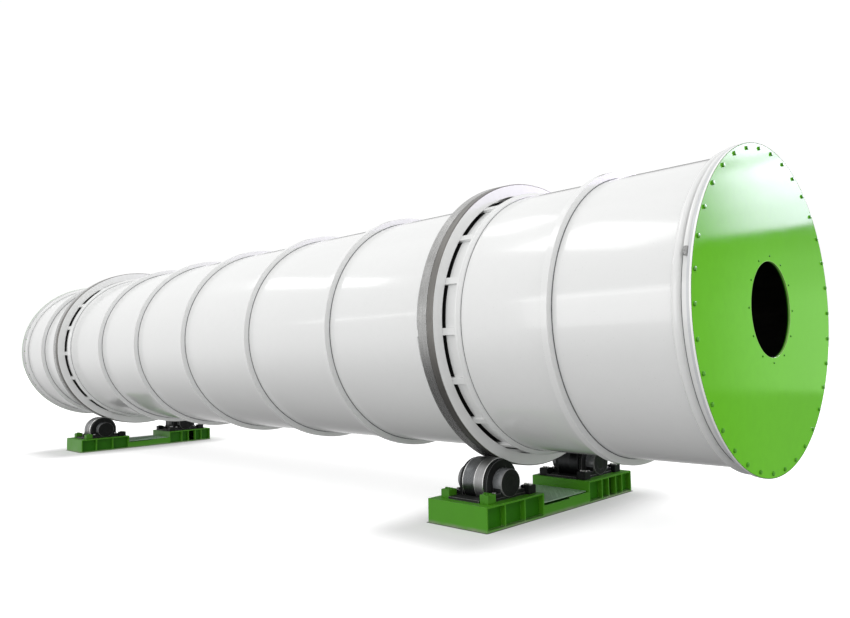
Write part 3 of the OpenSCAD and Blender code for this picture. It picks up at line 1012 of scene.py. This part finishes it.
def roller(end, side):
    """A darker rear tread, a shoulder, and a paler front tread; the right-hand rollers are near black all
    over, as painted shade under the drum.
    """
    node = f"roller_{end}_{side}"
    low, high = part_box(node)
    radius = reach(node)
    worn_r, rim_in, hub, seat, sink, edge = radius - 0.0015, radius - 0.028, 0.090, 0.050, 0.006, 0.004
    shoulder = low.x + 0.57 * (high.x - low.x)
    face = [(0, seat, 0), (0, hub, 0.0025), (sink, hub, 0.004), (sink, rim_in, 0.004), (0, rim_in, 0.0025)]
    tread = [(low.x, worn_r, 0), (low.x + 0.006, worn_r, 0), (shoulder - 0.002, worn_r, 0)]
    tread += [(shoulder, radius, 0), (shoulder + 0.005, radius, 0)]
    tread += [(high.x - edge, radius, 0), (high.x, radius - edge, 0)]
    outline = mirrored(face, low.x, high.x)
    outline[len(face) : len(face)] = tread

    def marks(a, b):
        if min(a[1], b[1]) < radius - 0.0045:
            return 3  # faces and bore
        left, right = min(a[0], b[0]), max(a[0], b[0])
        at_shoulder = left >= shoulder - 0.003 and right <= shoulder + 0.006
        if at_shoulder or right <= low.x + 0.0065 or left >= high.x - 0.0045:
            return 2  # painted highlight on the edges and the shoulder
        return 0 if right <= shoulder else 1

    looks = [DARK_TREAD, FINISH["roller_steel"], STEEL_EDGE_HIGHLIGHT, DARK_STEEL]
    # The right-hand rollers are near black all over: painted shade under the drum.
    if side == "right":
        looks = [DARK_STEEL] * 4
    shape = Shape().turned(rounded(outline, 0.002), centre=middle(node).yz, marks=marks, steps=128)
    shape.stands_for(node, looks, sharp=40)


def roller_shaft(end, side):
    """Two journals, a thicker seat for the roller, and a centre hole in each end."""
    node, wheel = f"roller_shaft_{end}_{side}", f"roller_{end}_{side}"
    low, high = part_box(node)
    seat_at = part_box(wheel)[0].x - low.x
    journal, seat = 0.040, 0.050
    half = [(0.012, 0.0, 0), (0, 0.009, 0.001), (0, journal, 0.003)]
    half += [(seat_at, journal, 0.002), (seat_at, seat, 0.001)]
    outline = rounded(mirrored(half, low.x, high.x), 0.001)
    shape = Shape().turned(outline, centre=middle(wheel).yz, steps=FINE)
    shape.stands_for(node, [FINISH["shaft_steel"]], sharp=40)


# -------- inside the drum


def inside():
    """The flights, and the feed vanes as the CAD has them."""
    from_cad("lifting_flights", [FINISH["flight_steel"]], 0.001)
    vanes = frame["nodes"]["feed_vanes"]
    vanes.data.materials.clear()
    vanes.data.materials.append(FINISH["flight_steel"])


# -------- the whole dryer

for number in range(1, CANS + 1):
    shell_can(number)
shell_seams()
joint_rings()
sealant_beads()
for name in ENDS:
    for build in (end_ring, end_plate, plate_bolts, riding_ring, wrapper, filler_pads):
        build(name)
opening_collar()
opening_rivets()
hoop_rod()
inside()
for name in ENDS:
    for build in (base_frame, deck_plate, clamp_blocks, station_bolts, end_caps, grease_nipples):
        build(name)
    for hand in SIDES:
        slide_plate(name, hand)
        housing(name, hand, "front")
        housing(name, hand, "back")
        bearings(name, hand)
        roller(name, hand)
        roller_shaft(name, hand)

# -------- studio


def flat_panel(name, low, high, place):
    """A rectangle in its own XY plane, put in place by a matrix."""
    corners = [(low[0], low[1], 0), (high[0], low[1], 0), (high[0], high[1], 0), (low[0], high[1], 0)]
    mesh = bpy.data.meshes.new(name)
    mesh.from_pydata(corners, [], [(0, 1, 2, 3)])
    panel = bpy.data.objects.new(name, mesh)
    panel.matrix_world = place
    bpy.context.scene.collection.objects.link(panel)
    return panel


def studio_floor():
    """A pale floor, lit from within so that it stays even, with painted shadow round the base frames."""
    floor = flat_panel("floor", (-600, -600), (600, 600), Matrix())
    f = Finish("pale_floor")
    # The painted shadow round the base frames darkens both the floor's colour and its glow.
    light = f.maths("SUBTRACT", 1.0, f.near_bases())
    tone = f.mix(f.span(f.noise(0.4, 2), (0.3, 0.7), (0, 1)), (0.86, 0.86, 0.86), (0.88, 0.88, 0.88))
    f.join(f.mix(light, (0.0, 0.0, 0.0), tone), "Base Color")
    f.join(f.maths("MULTIPLY", light, 0.50), "Emission Strength")
    f.set(Roughness=0.8, Specular_IOR_Level=0.1, Emission_Color=(1, 1, 1, 1))
    floor.data.materials.append(f.material)
    floor.visible_diffuse = False
    floor.visible_glossy = False


def glowing_card(name, low, high, place, stops, ends=None, tail=None, tint=(1, 1, 1)):
    """A card that only reflections see. stops are (place along its own Y, radiance) pairs.

    ends softens the card at both ends of its X axis over that length. tail is two places along
    its X, and the share of the radiance that is left at the second.
    """
    card = flat_panel(name, low, high, place)
    material = bpy.data.materials.new(name)
    tree = Tree(material)
    tree.nodes.remove(tree.nodes["Principled BSDF"])
    along, up = tree.axis("X"), tree.axis("Y")
    strength = tree.span(up, (stops[0][0], stops[1][0]), (stops[0][1], stops[1][1]))
    for (start, before), (stop, after) in zip(stops[1:], stops[2:]):
        strength = tree.maths("ADD", strength, tree.span(up, (start, stop), (0, after - before)))
    if tail:
        strength = tree.maths("MULTIPLY", strength, tree.span(along, tail[:2], (1, tail[2])))
    if ends:
        for given, wanted in (((low[0], low[0] + ends), (0, 1)), ((high[0] - ends, high[0]), (1, 0))):
            strength = tree.maths("MULTIPLY", strength, tree.span(along, given, wanted))
    glow = tree.nodes.new("ShaderNodeEmission")
    glow.inputs["Color"].default_value = (*tint, 1)
    tree.links.new(strength, glow.inputs["Strength"])
    result = glow.outputs["Emission"]
    if ends:
        clear = tree.nodes.new("ShaderNodeBsdfTransparent")
        blend = tree.nodes.new("ShaderNodeAddShader")
        tree.links.new(result, blend.inputs[0])
        tree.links.new(clear.outputs["BSDF"], blend.inputs[1])
        result = blend.outputs["Shader"]
    tree.links.new(result, tree.nodes["Material Output"].inputs["Surface"])
    card.data.materials.append(material)
    card.visible_camera = False
    card.visible_diffuse = False
    card.visible_shadow = False
    card.visible_transmission = False


def upright(x, y, z):
    """A panel's place: its own X runs along world X, and its own Y up."""
    return Matrix.Translation((x, y, z)) @ Matrix.Rotation(math.pi / 2, 4, "X")


def end_cards():
    """What the green end plate mirrors: a greenish card below a bluish white one with a dim band."""
    low_stops = [(0.38, 0.30), (0.48, 0.85), (1.90, 0.85), (2.60, 0.60), (3.20, 0.30)]
    stops = [(3.27, 0.15), (3.35, 3.7), (3.60, 4.0), (4.05, 5.2)]
    stops += [(4.45, 6.8), (4.58, 4.0), (4.64, 4.0), (4.74, 8.0)]
    place = upright(X_FRONT + 2.6, 8.0, 0)
    left, right, seam, tail = -3, 9, 3.2, (0.75, 2.25, 0.30)
    glowing_card("end_card", (left, seam), (right, 8), place, stops, tail=tail, tint=(1.0, 0.88, 1.2))
    glowing_card("end_low_card", (left, -6), (right, seam), place, low_stops, tail=tail, tint=(0.8, 1.4, 0.6))


def shell_cards():
    """What the white drum mirrors."""
    # A dark card behind the dryer, which draws a thin line along the top of the drum
    glowing_card("back_card", (-40, 0), (8, 8), upright(0, 9.0, 1.0), [(0, 0.02), (5.5, 0.02), (7.8, 0.9)])
    # Panels overhead that lie as bright patches on the shoulder of the drum
    fade, glow, height, turn = 0.35, 2.6, 9, Matrix.Rotation(math.radians(-53), 4, "Z")
    for name, x, y, length, width in (
        ("overhead_near", -0.2, -4.5, 1.9, 1.95),
        ("overhead_mid", -1.7, -0.4, 0.8, 1.2),
        ("overhead_far", -10.5, -5.2, 2.6, 1.5),
    ):
        stops = [(-width, 0.0), (fade - width, glow), (width - fade, glow), (width, 0.0)]
        place = Matrix.Translation((x, y, height)) @ turn
        glowing_card(name, (-length, -width), (length, width), place, stops, ends=fade)
    # Thin strips that lie as streaks along the side of the drum
    streak, half, away = [(-0.22, 0.0), (-0.12, 2.2), (0.12, 2.2), (0.22, 0.0)], 0.3, -10.5
    glowing_card("streak_near", (-4.6, -half), (0.5, half), upright(0, away, 4.4), streak, ends=0.4)
    glowing_card("streak_far", (-14, -half), (-6.5, half), upright(0, away, 3.9), streak, ends=0.4)


def soft_light(name, place, aim, size, power):
    data = bpy.data.lights.new(name, "AREA")
    data.shape = "RECTANGLE"
    data.size, data.size_y = size
    data.energy = power
    light = bpy.data.objects.new(name, data)
    light.location = place
    light.rotation_euler = (Vector(aim) - Vector(place)).to_track_quat("-Z", "Y").to_euler()
    light.visible_camera = False
    bpy.context.scene.collection.objects.link(light)


def studio_world():
    """White all round and above, grey from well below, as over a floor that gives back some of the light."""
    world = bpy.data.worlds.new("studio")
    bpy.context.scene.world = world
    tree = Tree(world, "Generated")
    background = tree.nodes["Background"].inputs
    tree.links.new(tree.span(tree.axis("Z"), (-0.5, -0.03), (0.24, 1.02)), background["Strength"])
    background["Color"].default_value = (1, 1, 1, 1)


def studio_camera():
    """A low camera to the left of the discharge end, turned, tilted up a little and rolled a hair."""
    data = bpy.data.cameras.new("camera")
    data.sensor_width = 36
    data.lens = 30.42
    data.shift_x = -0.1353
    data.shift_y = 0.0058
    data.clip_end = 2000
    yaw, pitch, roll = 0.7017, 0.0539, -0.0263
    place = Matrix.Translation((X_FRONT + 1.8077, -4.4098, 1.2172)) @ Matrix.Rotation(yaw, 4, "Z")
    place = place @ Matrix.Rotation(math.pi / 2 + pitch, 4, "X") @ Matrix.Rotation(roll, 4, "Z")
    camera = bpy.data.objects.new("camera", data)
    camera.matrix_world = place
    bpy.context.scene.collection.objects.link(camera)
    bpy.context.scene.camera = camera


studio_floor()
studio_world()
studio_camera()
end_cards()
shell_cards()
soft_light("key", place=(2.0, -11, 2.6), aim=(1.5, 0, 1.3), size=(13, 5), power=285)
soft_light("top", place=(0, -2.0, 9.0), aim=(0, 0, 1.4), size=(16, 5), power=25)
soft_light("front", place=(18, 1.0, 4.2), aim=(X_FRONT, 0, 1.6), size=(8, 6), power=420)
bpy.context.scene.view_settings.view_transform = "Standard"
